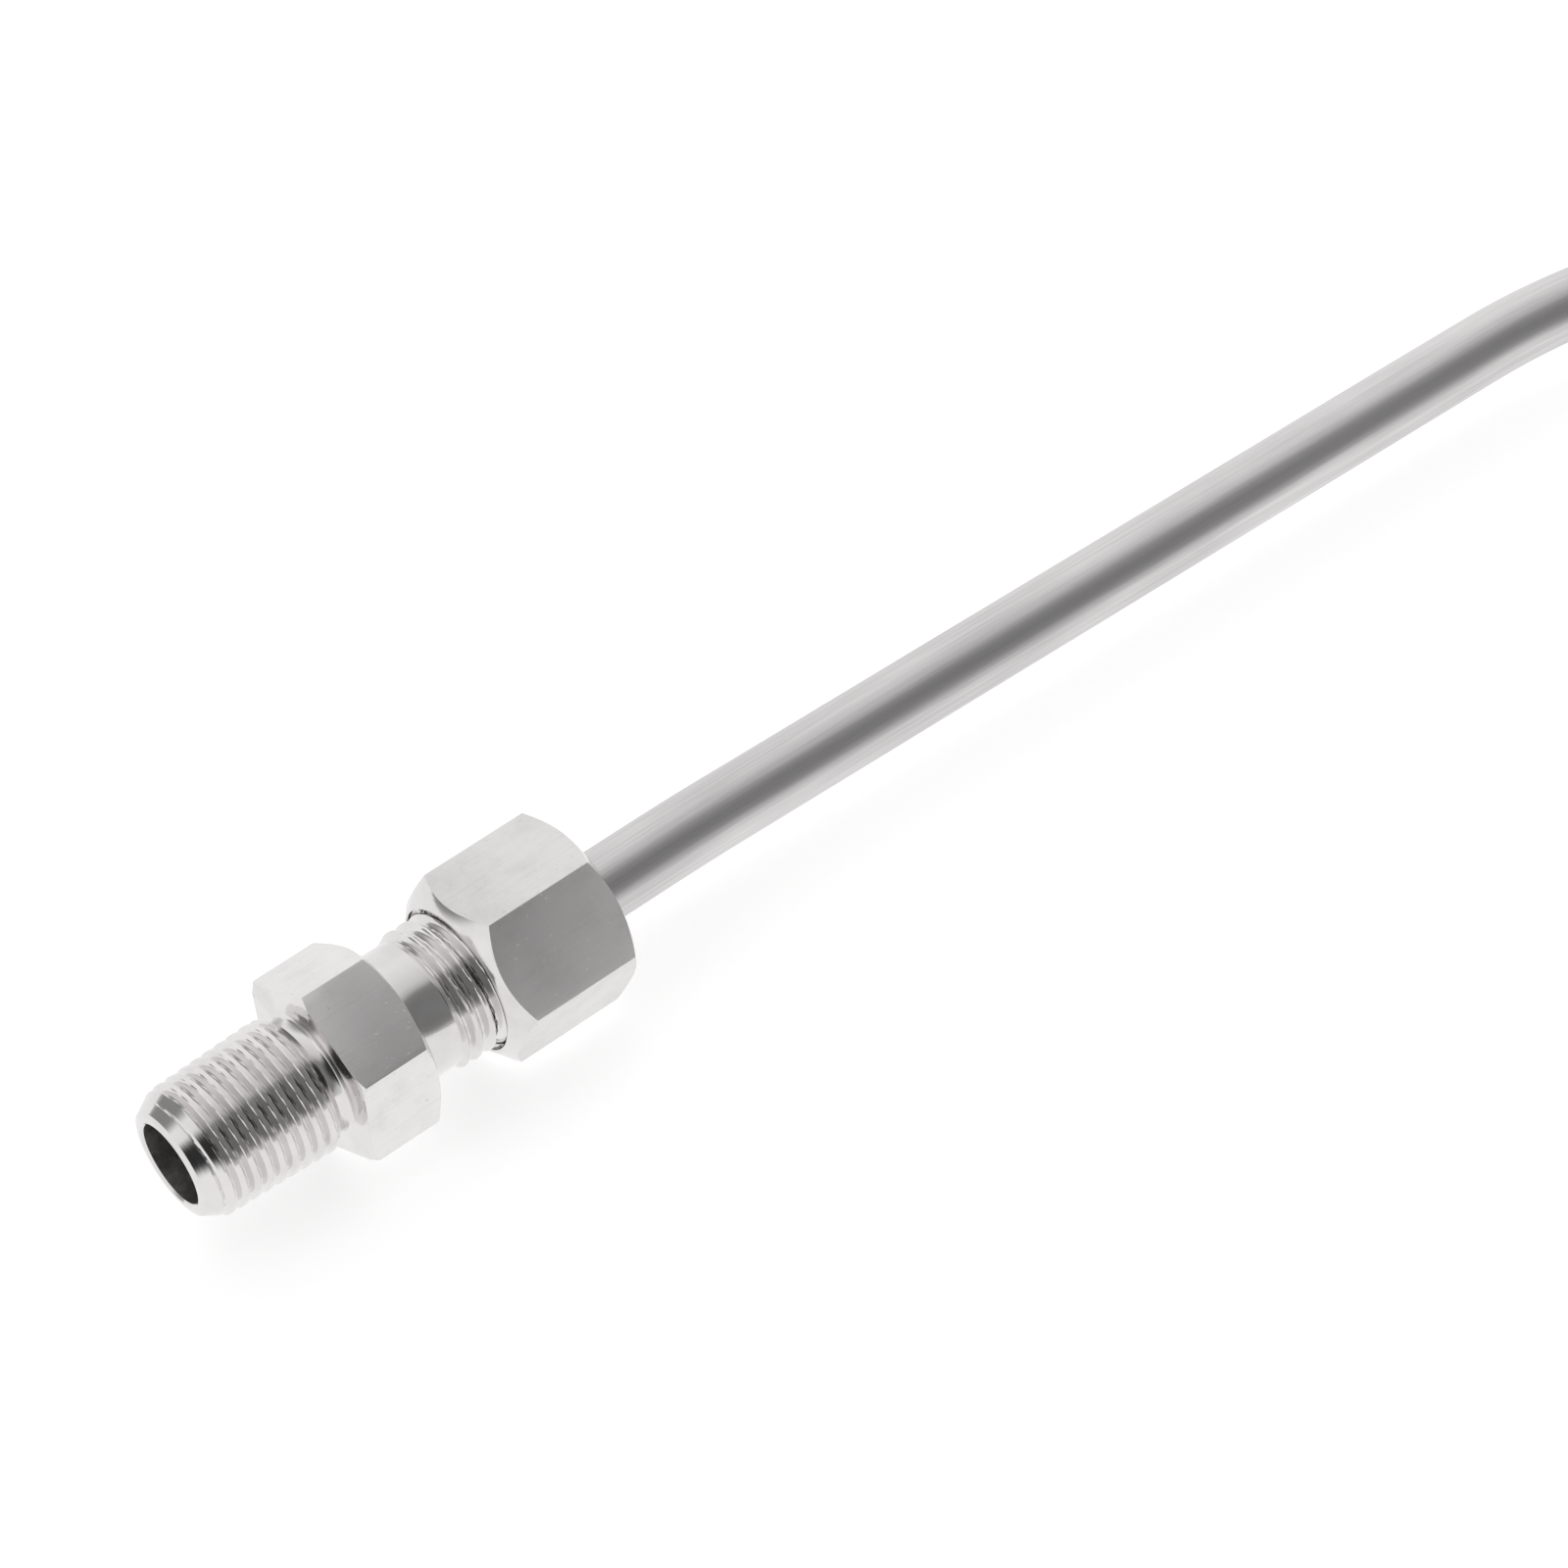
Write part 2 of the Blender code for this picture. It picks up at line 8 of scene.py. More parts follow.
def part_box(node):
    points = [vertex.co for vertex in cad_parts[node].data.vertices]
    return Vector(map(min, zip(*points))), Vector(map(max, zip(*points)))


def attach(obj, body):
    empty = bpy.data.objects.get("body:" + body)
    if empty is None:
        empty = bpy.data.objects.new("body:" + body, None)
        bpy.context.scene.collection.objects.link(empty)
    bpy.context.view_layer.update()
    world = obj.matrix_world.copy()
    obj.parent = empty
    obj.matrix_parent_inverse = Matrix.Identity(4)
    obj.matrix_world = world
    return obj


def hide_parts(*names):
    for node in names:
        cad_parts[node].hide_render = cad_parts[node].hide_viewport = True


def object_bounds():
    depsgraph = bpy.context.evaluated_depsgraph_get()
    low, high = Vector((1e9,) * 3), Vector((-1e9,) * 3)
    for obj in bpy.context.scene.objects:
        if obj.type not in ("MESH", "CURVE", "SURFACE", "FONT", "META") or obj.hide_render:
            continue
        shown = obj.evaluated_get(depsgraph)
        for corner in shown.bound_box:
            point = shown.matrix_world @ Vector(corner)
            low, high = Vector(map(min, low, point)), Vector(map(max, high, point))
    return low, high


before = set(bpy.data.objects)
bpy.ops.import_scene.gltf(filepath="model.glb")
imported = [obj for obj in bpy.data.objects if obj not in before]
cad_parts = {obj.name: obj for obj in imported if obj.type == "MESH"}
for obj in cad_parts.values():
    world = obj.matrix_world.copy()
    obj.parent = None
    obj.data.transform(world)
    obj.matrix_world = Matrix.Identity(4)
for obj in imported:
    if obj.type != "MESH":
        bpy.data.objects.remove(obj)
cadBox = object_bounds()
mm = 0.001
fullTurn = 2.0 * math.pi
print("frame loaded:", len(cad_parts), "nodes")

# where the solids lie along the gland's axis
bodyLow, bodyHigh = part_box("fitting_body")
nutLow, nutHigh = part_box("compression_nut")
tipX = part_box("sheath_tube")[0].x


# A socket that takes part in sums; every sum adds a Math node
class Signal:
    def __init__(self, shop, socket):
        self.shop = shop
        self.socket = socket

    def calc(self, operation, first, second):
        node = self.shop.add("ShaderNodeMath", {"operation": operation}, {0: first, 1: second})
        return Signal(self.shop, node.outputs[0])

    def __add__(self, other):
        return self.calc("ADD", self, other)

    def __radd__(self, other):
        return self.calc("ADD", other, self)

    def __sub__(self, other):
        return self.calc("SUBTRACT", self, other)

    def __rsub__(self, other):
        return self.calc("SUBTRACT", other, self)

    def __mul__(self, other):
        return self.calc("MULTIPLY", self, other)

    def __rmul__(self, other):
        return self.calc("MULTIPLY", other, self)


# Adds and links nodes in one tree
class Shop:
    def __init__(self, tree):
        self.tree = tree

    def add(self, kind, settings=None, sockets=None):
        node = self.tree.nodes.new(kind)
        for key, value in (settings or {}).items():
            if key == "stops":
                ramp = node.color_ramp.elements
                while len(ramp) < len(value):
                    ramp.new(0.5)
                for stop, (place, colour) in zip(ramp, value):
                    stop.position = place
                    stop.color = colour
            else:
                setattr(node, key, value)
        for key, value in (sockets or {}).items():
            self.feed(node.inputs[key], value)
        return node

    def feed(self, target, value):
        if isinstance(value, Signal):
            self.tree.links.new(value.socket, target)
        elif isinstance(value, bpy.types.NodeSocket):
            self.tree.links.new(value, target)
        else:
            target.default_value = value

    def objectPlace(self):
        return self.add("ShaderNodeTexCoord").outputs["Object"]

    def signal(self, kind, settings=None, sockets=None, output=0):
        return Signal(self, self.add(kind, settings, sockets).outputs[output])

    # noise drawn out by a different scale on each axis
    def stretched(self, source, scale, detail=4.0, rough=0.55):
        place = self.add("ShaderNodeMapping", None, {"Vector": source, "Scale": scale})
        return self.signal("ShaderNodeTexNoise", None,
                           {"Vector": place.outputs[0], "Scale": 1.0, "Detail": detail, "Roughness": rough})

    # 0 below the span, 1 above it
    def between(self, signal, span):
        return self.signal("ShaderNodeMapRange", {"interpolation_type": "SMOOTHSTEP"},
                           {"Value": signal, "From Min": span[0], "From Max": span[1]})

    def mixColour(self, factor, first, second):
        node = self.add("ShaderNodeMix", {"data_type": "RGBA"}, {"Factor": factor, 6: first, 7: second})
        return node.outputs[2]


def newFinish(name, metallic):
    material = bpy.data.materials.new(name)
    material.use_nodes = True
    shop = Shop(material.node_tree)
    shader = material.node_tree.nodes["Principled BSDF"]
    shader.inputs["Metallic"].default_value = metallic
    return material, shop, shader


def addBump(shop, shader, height, look):
    bump = shop.add("ShaderNodeBump", None,
                    {"Height": height, "Strength": look["bumpStrength"], "Distance": look["bumpHeight"]})
    shop.feed(shader.inputs["Normal"], bump.outputs[0])


# Bright plating over a turned surface: fine rings round the axis
turnedLook = {
    "light": (0.79, 0.775, 0.77, 1.0), "dull": (0.66, 0.645, 0.64, 1.0), "rough": 0.05,
    "ringScale": (5200.0, 60.0, 60.0), "ringRough": 0.08,
    "cloudScale": (190.0, 190.0, 190.0), "cloudSpan": (0.35, 0.75), "cloudShare": 0.7, "cloudRough": 0.05,
    "bumpStrength": 0.25, "bumpHeight": 0.02 * mm,
}


def turnedPlate():
    look = turnedLook
    material, shop, shader = newFinish("turnedPlate", 1.0)
    place = shop.objectPlace()
    rings = shop.stretched(place, look["ringScale"], 5.0)
    cloud = shop.stretched(place, look["cloudScale"], 3.0)
    worn = shop.between(cloud, look["cloudSpan"]) * look["cloudShare"]
    shop.feed(shader.inputs["Base Color"], shop.mixColour(worn, look["light"], look["dull"]))
    rough = look["rough"] + rings * look["ringRough"] + cloud * look["cloudRough"]
    shop.feed(shader.inputs["Roughness"], rough)
    addBump(shop, shader, rings, look)
    return material


# The flats keep a trace of the drawn bar's lengthwise grain, with small pits and stains
flatLook = {
    "light": (0.86, 0.845, 0.84, 1.0), "dull": (0.66, 0.64, 0.635, 1.0),
    "collarRough": 0.30, "nutRough": 0.44,
    "grainScale": (110.0, 4200.0, 4200.0), "grainSpan": (0.4, 0.75), "grainShare": 0.14, "grainRough": 0.08,
    "stainScale": (230.0, 230.0, 230.0), "stainSpan": (0.42, 0.8), "stainShare": 0.45,
    "pitScale": (2100.0, 3300.0, 3300.0), "pitSpan": (0.66, 0.74), "pitShare": 0.4, "pitRough": 0.15,
    "grainHeight": 0.4, "bumpStrength": 0.4, "bumpHeight": 0.03 * mm,
}


def drawnFlat(name, rough):
    look = flatLook
    material, shop, shader = newFinish(name, 1.0)
    place = shop.objectPlace()
    grain = shop.stretched(place, look["grainScale"], 4.0)
    stain = shop.stretched(place, look["stainScale"], 5.0, 0.65)
    pits = shop.between(shop.stretched(place, look["pitScale"], 2.0), look["pitSpan"])
    stained = shop.between(stain, look["stainSpan"]) * look["stainShare"]
    worn = stained + shop.between(grain, look["grainSpan"]) * look["grainShare"] + pits * look["pitShare"]
    shop.feed(shader.inputs["Base Color"], shop.mixColour(worn, look["light"], look["dull"]))
    shop.feed(shader.inputs["Roughness"], rough + grain * look["grainRough"] + pits * look["pitRough"])
    addBump(shop, shader, grain * look["grainHeight"] - pits, look)
    return material


# Satin drawn tube; the pattern follows the tube through its bends
tubeLook = {
    "light": (0.78, 0.76, 0.76, 1.0), "dull": (0.59, 0.575, 0.575, 1.0), "rough": 0.28,
    "lineScale": (70.0, 3600.0, 3600.0), "lineSpan": (0.3, 0.7), "lineShare": 0.5, "lineRough": 0.14,
    "cloudScale": (45.0, 160.0, 160.0), "cloudSpan": (0.3, 0.75), "cloudShare": 0.35, "cloudRough": 0.08,
    "bumpStrength": 0.3, "bumpHeight": 0.03 * mm,
}


def drawnTube():
    look = tubeLook
    material, shop, shader = newFinish("drawnTube", 1.0)
    straight = shop.add("ShaderNodeAttribute", {"attribute_name": "straight"}).outputs["Vector"]
    lines = shop.stretched(straight, look["lineScale"], 5.0)
    cloud = shop.stretched(straight, look["cloudScale"], 3.0)
    clouded = shop.between(cloud, look["cloudSpan"]) * look["cloudShare"]
    worn = clouded + shop.between(lines, look["lineSpan"]) * look["lineShare"]
    shop.feed(shader.inputs["Base Color"], shop.mixColour(worn, look["light"], look["dull"]))
    rough = look["rough"] + lines * look["lineRough"] + cloud * look["cloudRough"]
    shop.feed(shader.inputs["Roughness"], rough)
    addBump(shop, shader, lines, look)
    return material


# One recipe for the bore, the inner pieces and the end pieces: a base colour with a fine mottle
mottle = {"span": (0.3, 0.7), "rough": 0.15, "bumpStrength": 0.2, "bumpHeight": 0.03 * mm}
innerLooks = {
    "boredSteel": {"colour": (0.54, 0.53, 0.52), "dark": 0.55, "metal": 1.0, "rough": 0.36, "grain": 1100.0},
    "turnedRing": {"colour": (0.62, 0.62, 0.63), "dark": 0.80, "metal": 1.0, "rough": 0.24, "grain": 1500.0},
    "weldedTip": {"colour": (0.50, 0.48, 0.47), "dark": 0.65, "metal": 1.0, "rough": 0.36, "grain": 900.0},
    "whitePolymer": {"colour": (0.88, 0.88, 0.86), "dark": 0.92, "metal": 0.0, "rough": 0.42, "grain": 700.0},
    "firedCeramic": {"colour": (0.9, 0.87, 0.8), "dark": 0.88, "metal": 0.0, "rough": 0.62, "grain": 2600.0},
    "paleWire": {"colour": (0.55, 0.52, 0.49), "dark": 0.78, "metal": 1.0, "rough": 0.32, "grain": 2200.0},
    "greyWire": {"colour": (0.44, 0.43, 0.43), "dark": 0.75, "metal": 1.0, "rough": 0.38, "grain": 2200.0},
    "fusedBead": {"colour": (0.36, 0.34, 0.33), "dark": 0.55, "metal": 1.0, "rough": 0.48, "grain": 1400.0},
    "darkResin": {"colour": (0.045, 0.045, 0.05), "dark": 0.6, "metal": 0.0, "rough": 0.4, "grain": 1200.0},
    "redSleeve": {"colour": (0.55, 0.05, 0.04), "dark": 0.62, "metal": 0.0, "rough": 0.62, "grain": 4200.0},
    "blueSleeve": {"colour": (0.05, 0.12, 0.42), "dark": 0.62, "metal": 0.0, "rough": 0.62, "grain": 4200.0},
}


def innerFinish(name):
    look = innerLooks[name]
    material, shop, shader = newFinish(name, look["metal"])
    grain = shop.stretched(shop.objectPlace(), (look["grain"],) * 3, 4.0)
    shade = tuple(value * look["dark"] for value in look["colour"])
    mixed = shop.mixColour(shop.between(grain, mottle["span"]), (*look["colour"], 1.0), (*shade, 1.0))
    shop.feed(shader.inputs["Base Color"], mixed)
    shop.feed(shader.inputs["Roughness"], look["rough"] + grain * mottle["rough"])
    addBump(shop, shader, grain, mottle)
    return material


platedTurned = turnedPlate()
collarFlat = drawnFlat("collarFlat", flatLook["collarRough"])
nutFlat = drawnFlat("nutFlat", flatLook["nutRough"])
satinTube = drawnTube()
innerMaterials = {name: innerFinish(name) for name in innerLooks}
print("finishes made")

# Limits that the modelling helpers share
mergeDistance = 0.0002 * mm
flatMargin = 0.05 * mm
edgeAngle = math.radians(12.0)
smoothAngle = math.radians(32.0)
flankCurve = 0.2  # share of a thread flank's slope that is rounded


def axisDistance(vert):
    return math.hypot(vert.co.y, vert.co.z)


def turned(profile, sides):
    bm = bmesh.new()
    corners = [bm.verts.new((x, 0.0, radius)) for x, radius in profile]
    edges = [bm.edges.new(pair) for pair in zip(corners, corners[1:] + corners[:1])]
    bmesh.ops.spin(bm, geom=corners + edges, cent=(0, 0, 0), axis=(1, 0, 0), angle=fullTurn,
                   steps=sides, use_merge=True)
    bmesh.ops.remove_doubles(bm, verts=bm.verts, dist=mergeDistance)
    bmesh.ops.recalc_face_normals(bm, faces=bm.faces)
    return bm


# cuts six flats; the new faces take the second finish
def millFlats(bm, acrossFlats, clocking):
    for index in range(6):
        angle = clocking + index * fullTurn / 6.0
        normal = Vector((0.0, -math.sin(angle), math.cos(angle)))
        cut = bmesh.ops.bisect_plane(bm, geom=bm.verts[:] + bm.edges[:] + bm.faces[:], dist=mergeDistance,
                                     plane_co=normal * acrossFlats / 2.0, plane_no=normal, clear_outer=True)
        rim = [item for item in cut["geom_cut"] if isinstance(item, bmesh.types.BMEdge)]
        for face in bmesh.ops.contextual_create(bm, geom=rim)["faces"]:
            face.material_index = 1


def breakEdges(bm, acrossFlats, width):
    reach = acrossFlats / 2.0 - flatMargin
    sharp = []
    for edge in bm.edges:
        nearest = min(axisDistance(vert) for vert in edge.verts)
        touchesFlat = any(face.material_index == 1 for face in edge.link_faces)
        if nearest > reach and touchesFlat and edge.calc_face_angle(0.0) > edgeAngle:
            sharp.append(edge)
    bmesh.ops.bevel(bm, geom=sharp, offset=width, offset_type="OFFSET", segments=2, profile=0.5,
                    affect="EDGES", material=-1, clamp_overlap=True)


def spread(start, end, count):
    return [start + (end - start) * step / count for step in range(count + 1)]


# 0 on a thread's crest, 1 in its root; flats holds the flat shares of crest and root
def threadWave(vert, pitch, flats):
    crest, root = flats
    phase = vert.co.x / pitch - math.atan2(vert.co.z, vert.co.y) / fullTurn
    part = abs(2.0 * (phase - math.floor(phase)) - 1.0)
    slope = min(max((part - crest) / (1.0 - crest - root), 0.0), 1.0)
    rounded = slope * slope * (3.0 - 2.0 * slope)
    return rounded * flankCurve + slope * (1.0 - flankCurve)


def setRadius(vert, radius):
    scale = radius / axisDistance(vert)
    vert.co.y *= scale
    vert.co.z *= scale


def cornerRadius(acrossFlats):
    return acrossFlats / 2.0 / math.cos(fullTurn / 12.0)


def makePiece(name, bm, finishes, body, nodes):
    mesh = bpy.data.meshes.new(name)
    bmesh.ops.recalc_face_normals(bm, faces=bm.faces)
    bm.to_mesh(mesh)
    bm.free()
    mesh.shade_smooth()
    mesh.set_sharp_from_angle(angle=smoothAngle)
    for finish in finishes:
        mesh.materials.append(finish)
    piece = bpy.data.objects.new(name, mesh)
    bpy.context.scene.collection.objects.link(piece)
    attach(piece, body)
    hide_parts(*nodes)
    print("made", name, len(mesh.polygons), "faces")


# Gland body: taper thread, undercut, collar hexagon, neck and crown thread, bored through
gland = {
    "noseX": bodyLow.x, "endX": bodyHigh.x, "sides": 156, "samples": 22,  # samples along one pitch
    "boreRadius": 4.1 * mm, "boreDepth": 20.0 * mm, "boreBreak": 0.2 * mm, "boreMargin": 0.02 * mm,
    "rimRadius": 5.2 * mm,
    "rimSteps": ((0.0, 0.5 * mm), (0.06 * mm, 0.22 * mm)),  # distance behind the nose and inside the rim
    "chamferLength": 2.2 * mm, "taperStart": 0.2 * mm, "taperNoseRadius": 6.425 * mm,
    "taperRate": 1.0 / 32.0, "taperPitch": 1.337 * mm, "taperDepth": 0.62 * mm, "taperFlats": (0.34, 0.05),
    "undercutX": -1.2 * mm, "undercutRadius": 5.8 * mm, "undercutFillet": 0.55 * mm, "filletSteps": 5,
    "flats": 17.0 * mm, "clocking": math.radians(24.5), "collarLength": 7.8 * mm, "edgeBreak": 0.09 * mm,
    "frontBreak": 0.35 * mm, "rearChamfer": 0.85 * mm, "chamferAngle": math.radians(30.0),
    "neckRadius": 6.4 * mm, "neckFillet": 0.5 * mm, "neckFilletMiddle": 0.15 * mm,
    "crownX": 11.8 * mm, "crownRadius": 6.95 * mm, "crownSlope": 1.2, "crownLead": 0.8 * mm,
    "crownPitch": 1.5 * mm, "crownDepth": 0.72 * mm, "crownFlats": (0.16, 0.12),
    "fadeLead": 0.3 * mm, "fadeLength": 0.9 * mm, "endChamfer": 0.8 * mm,
    "coneMouth": 5.0 * mm, "coneAngle": math.radians(12.0), "guideRadius": 3.75 * mm, "leastWall": 0.5 * mm,
}


def taperCrest(x):
    return gland["taperNoseRadius"] + (x - gland["noseX"]) * gland["taperRate"]


# the blank with its chamfer at the nose and its run-out into the undercut
def taperBlank(x):
    noseX, rim = gland["noseX"], gland["rimRadius"]
    chamferEnd = noseX + gland["chamferLength"]
    cone = rim + (x - noseX) / gland["chamferLength"] * (taperCrest(chamferEnd) - rim)
    ramp = gland["undercutRadius"] + max(0.0, gland["undercutX"] - x)
    return min(cone, taperCrest(x), ramp)


# the blank with its rise from the neck and its chamfer at the end
def crownBlank(x):
    rise = (x - gland["crownX"]) * gland["crownSlope"] + gland["neckRadius"]
    fall = gland["crownRadius"] - max(0.0, x - (gland["endX"] - gland["endChamfer"]))
    return min(max(rise, gland["neckRadius"]), gland["crownRadius"], fall)


def threadCount(start, end, pitch):
    return round((end - start) / pitch * gland["samples"])


def glandOutside():
    noseX, taperEnd, endX = gland["noseX"], gland["undercutX"], gland["endX"]
    length, neck = gland["collarLength"], gland["neckRadius"]
    corner = cornerRadius(gland["flats"])
    slopeOut = 1.0 / math.tan(gland["chamferAngle"])
    fillet, steps = gland["undercutFillet"], gland["filletSteps"]
    outline = [(noseX, gland["boreRadius"] + gland["boreBreak"])]
    outline += [(noseX + behind, gland["rimRadius"] - inside) for behind, inside in gland["rimSteps"]]
    taperCount = threadCount(noseX, taperEnd, gland["taperPitch"])
    outline += [(x, taperBlank(x)) for x in spread(noseX + gland["taperStart"], taperEnd, taperCount)]
    for step in range(1, steps + 1):
        angle = fullTurn / 4.0 * step / steps
        rise = fillet * (1.0 - math.cos(angle))
        outline.append((fillet * math.sin(angle) - fillet, gland["undercutRadius"] + rise))
    outline += [
        (0.0, corner - gland["frontBreak"] * slopeOut),
        (gland["frontBreak"], corner),
        (length - gland["rearChamfer"], corner),
        (length, corner - gland["rearChamfer"] * slopeOut),
        (length, neck + gland["neckFillet"]),
        (length + gland["neckFilletMiddle"], neck + gland["neckFilletMiddle"]),
        (length + gland["neckFillet"], neck),
    ]
    crownStart = gland["crownX"] - gland["crownLead"]
    crownCount = threadCount(crownStart, endX, gland["crownPitch"])
    return outline + [(x, crownBlank(x)) for x in spread(crownStart, endX, crownCount)]


def glandInside():
    bore, guide, endX = gland["boreRadius"], gland["guideRadius"], gland["endX"]
    stepX = gland["noseX"] + gland["boreDepth"]
    coneDepth = (gland["coneMouth"] - guide) / math.tan(gland["coneAngle"])
    return [
        (endX, gland["coneMouth"]),
        (endX - coneDepth, guide),
        (stepX + gland["boreBreak"], guide),
        (stepX, bore),
        (gland["noseX"] + gland["boreBreak"], bore),
    ]


# sinks the outside of both blanks along right-hand helices
def cutThreads(bm):
    crownStart = gland["crownX"] - gland["crownLead"]
    for vert in bm.verts:
        x, radius = vert.co.x, axisDistance(vert)
        if x <= gland["undercutX"] and radius > gland["boreRadius"] + gland["leastWall"]:
            wave = threadWave(vert, gland["taperPitch"], gland["taperFlats"])
            setRadius(vert, min(radius, taperCrest(x) - gland["taperDepth"] * wave))
        elif crownStart < x < gland["endX"] and radius > gland["coneMouth"] + gland["leastWall"]:
            fade = min(max((x - gland["crownX"] + gland["fadeLead"]) / gland["fadeLength"], 0.0), 1.0)
            wave = threadWave(vert, gland["crownPitch"], gland["crownFlats"])
            setRadius(vert, min(radius, gland["crownRadius"] - gland["crownDepth"] * wave * fade))


def buildGland():
    bm = turned(glandOutside() + glandInside(), gland["sides"])
    cutThreads(bm)
    for face in bm.faces:
        if max(axisDistance(vert) for vert in face.verts) < gland["boreRadius"] + gland["boreMargin"]:
            face.material_index = 2
    millFlats(bm, gland["flats"], gland["clocking"])
    breakEdges(bm, gland["flats"], gland["edgeBreak"])
    finishes = [platedTurned, collarFlat, innerMaterials["boredSteel"]]
    makePiece("gland_body_turned", bm, finishes, "gland", ["fitting_body"])


# Compression nut: deep front cone, lighter rear cone, six flats, grooved inside
nut = {
    "startX": nutLow.x, "endX": nutHigh.x, "sides": 120,
    "flats": 17.0 * mm, "clocking": math.radians(47.8), "edgeBreak": 0.12 * mm,
    "frontChamfer": 1.9 * mm, "frontAngle": math.radians(42.0),
    "frontEdgeIn": 0.1 * mm, "frontEdgeOut": 0.05 * mm, "frontEdgeDepth": 0.08 * mm,
    "rearChamfer": 1.0 * mm, "rearAngle": math.radians(35.0),
    "rearEdgeIn": 0.08 * mm, "rearEdgeOut": 0.06 * mm,
    "mouthRadius": 7.08 * mm, "mouthBreak": 0.3 * mm, "exitRadius": 3.9 * mm, "exitBreak": 0.25 * mm,
    "threadDepth": 9.6 * mm, "threadStart": 0.35 * mm, "threadGap": 0.2 * mm, "threadSteps": 84,
    "pitch": 1.5 * mm, "grooveDepth": 0.5 * mm, "grooveFlats": (0.14, 0.14), "mouthMargin": 0.05 * mm,
}


def buildNut():
    corner = cornerRadius(nut["flats"])
    startX, endX, mouth, leave = nut["startX"], nut["endX"], nut["mouthRadius"], nut["exitRadius"]
    faceRadius = corner - nut["frontChamfer"] / math.tan(nut["frontAngle"])
    backRadius = corner - nut["rearChamfer"] / math.tan(nut["rearAngle"])
    threadEnd = startX + nut["threadDepth"]
    profile = [
        (startX, mouth + nut["mouthBreak"]),
        (startX, faceRadius - nut["frontEdgeIn"]),
        (startX + nut["frontEdgeDepth"], faceRadius + nut["frontEdgeOut"]),
        (startX + nut["frontChamfer"], corner),
        (endX - nut["rearChamfer"], corner),
        (endX - nut["rearEdgeOut"], backRadius + nut["rearEdgeOut"]),
        (endX, backRadius - nut["rearEdgeIn"]),
        (endX, leave + nut["exitBreak"]),
        (endX - nut["exitBreak"], leave),
        (threadEnd + mouth - leave, leave),
    ]
    profile += [(x, mouth) for x in spread(threadEnd, startX + nut["threadStart"], nut["threadSteps"])]
    bm = turned(profile, nut["sides"])
    for vert in bm.verts:
        if vert.co.x < threadEnd - nut["threadGap"] and axisDistance(vert) < mouth + nut["mouthMargin"]:
            setRadius(vert, mouth + nut["grooveDepth"] * threadWave(vert, nut["pitch"], nut["grooveFlats"]))
    millFlats(bm, nut["flats"], nut["clocking"])
    breakEdges(bm, nut["flats"], nut["edgeBreak"])
    makePiece("gland_nut_turned", bm, [platedTurned, nutFlat], "nut", ["compression_nut"])


# Sheath: a straight tube carried through the same runs and bends as the solid
sheath = {
    "tipX": tipX, "radius": 3.5 * mm, "bore": 2.7 * mm, "sides": 72, "ringStep": 2.2 * mm,
    "edgeBreak": 0.2 * mm, "boreBreak": 0.1 * mm,
    "straightBehindNut": 8.0 * mm, "setRadius": 296.0 * mm, "setAngle": math.radians(1.8),
    "longRun": 95.0 * mm, "bendRadius": 80.0 * mm, "bendAngle": math.radians(40.0), "lastRun": 32.0 * mm,
}
firstRun = nutHigh.x + sheath["straightBehindNut"] - sheath["tipX"]
route = [  # length and angle of each run
    (firstRun, 0.0),
    (sheath["setRadius"] * sheath["setAngle"], sheath["setAngle"]),
    (sheath["longRun"], 0.0),
    (sheath["bendRadius"] * sheath["bendAngle"], sheath["bendAngle"]),
    (sheath["lastRun"], 0.0),
]
sheathLength = sum(length for length, angle in route)


def routeAt(distance):
    point = Vector((sheath["tipX"], 0.0, 0.0))
    heading = 0.0
    left = distance
    for length, angle in route:
        run = min(left, length)
        if angle:
            radius = length / angle
            turn = run / radius
            point.x += radius * (math.sin(heading + turn) - math.sin(heading))
            point.y += radius * (math.cos(heading + turn) - math.cos(heading))
            heading += turn
        else:
            point.x += run * math.cos(heading)
            point.y -= run * math.sin(heading)
        left -= run
    return point, heading


def buildSheath():
    radius, bore, edge = sheath["radius"], sheath["bore"], sheath["edgeBreak"]
    boreEdge = bore + sheath["boreBreak"]
    rings = spread(edge, sheathLength - edge, round(sheathLength / sheath["ringStep"]))
    profile = [(0.0, radius - edge)] + [(x, radius) for x in rings] + [(sheathLength, radius - edge)]
    profile += [(sheathLength, boreEdge)] + [(x, bore) for x in reversed(rings)] + [(0.0, boreEdge)]
    bm = turned(profile, sheath["sides"])
    straight = bm.verts.layers.float_vector.new("straight")
    for vert in bm.verts:
        vert[straight] = vert.co
        point, heading = routeAt(vert.co.x)
        side = Vector((math.sin(heading), math.cos(heading), 0.0))
        vert.co = point + side * vert.co.y + Vector((0.0, 0.0, vert.co.z))
    makePiece("sheath_drawn", bm, [satinTube], "probe", ["sheath_tube"])


buildGland()
buildNut()
buildSheath()

# Finishes of the solids that stay as they are
nodeFinishes = {
    "thrust_ring": "turnedRing", "tip_plug": "weldedTip", "sealing_ferrule": "whitePolymer",
    "hot_junction": "fusedBead", "positive_wire": "paleWire", "negative_wire": "greyWire",
    "potting_seal": "darkResin", "positive_tail_sleeve": "redSleeve", "negative_tail_sleeve": "blueSleeve",
}
for nodeName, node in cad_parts.items():
    finishName = "firedCeramic" if nodeName.startswith("insulator_bead") else nodeFinishes.get(nodeName)
    if finishName:
        node.data.materials.clear()
        node.data.materials.append(innerMaterials[finishName])
print("finishes set on the inner solids")

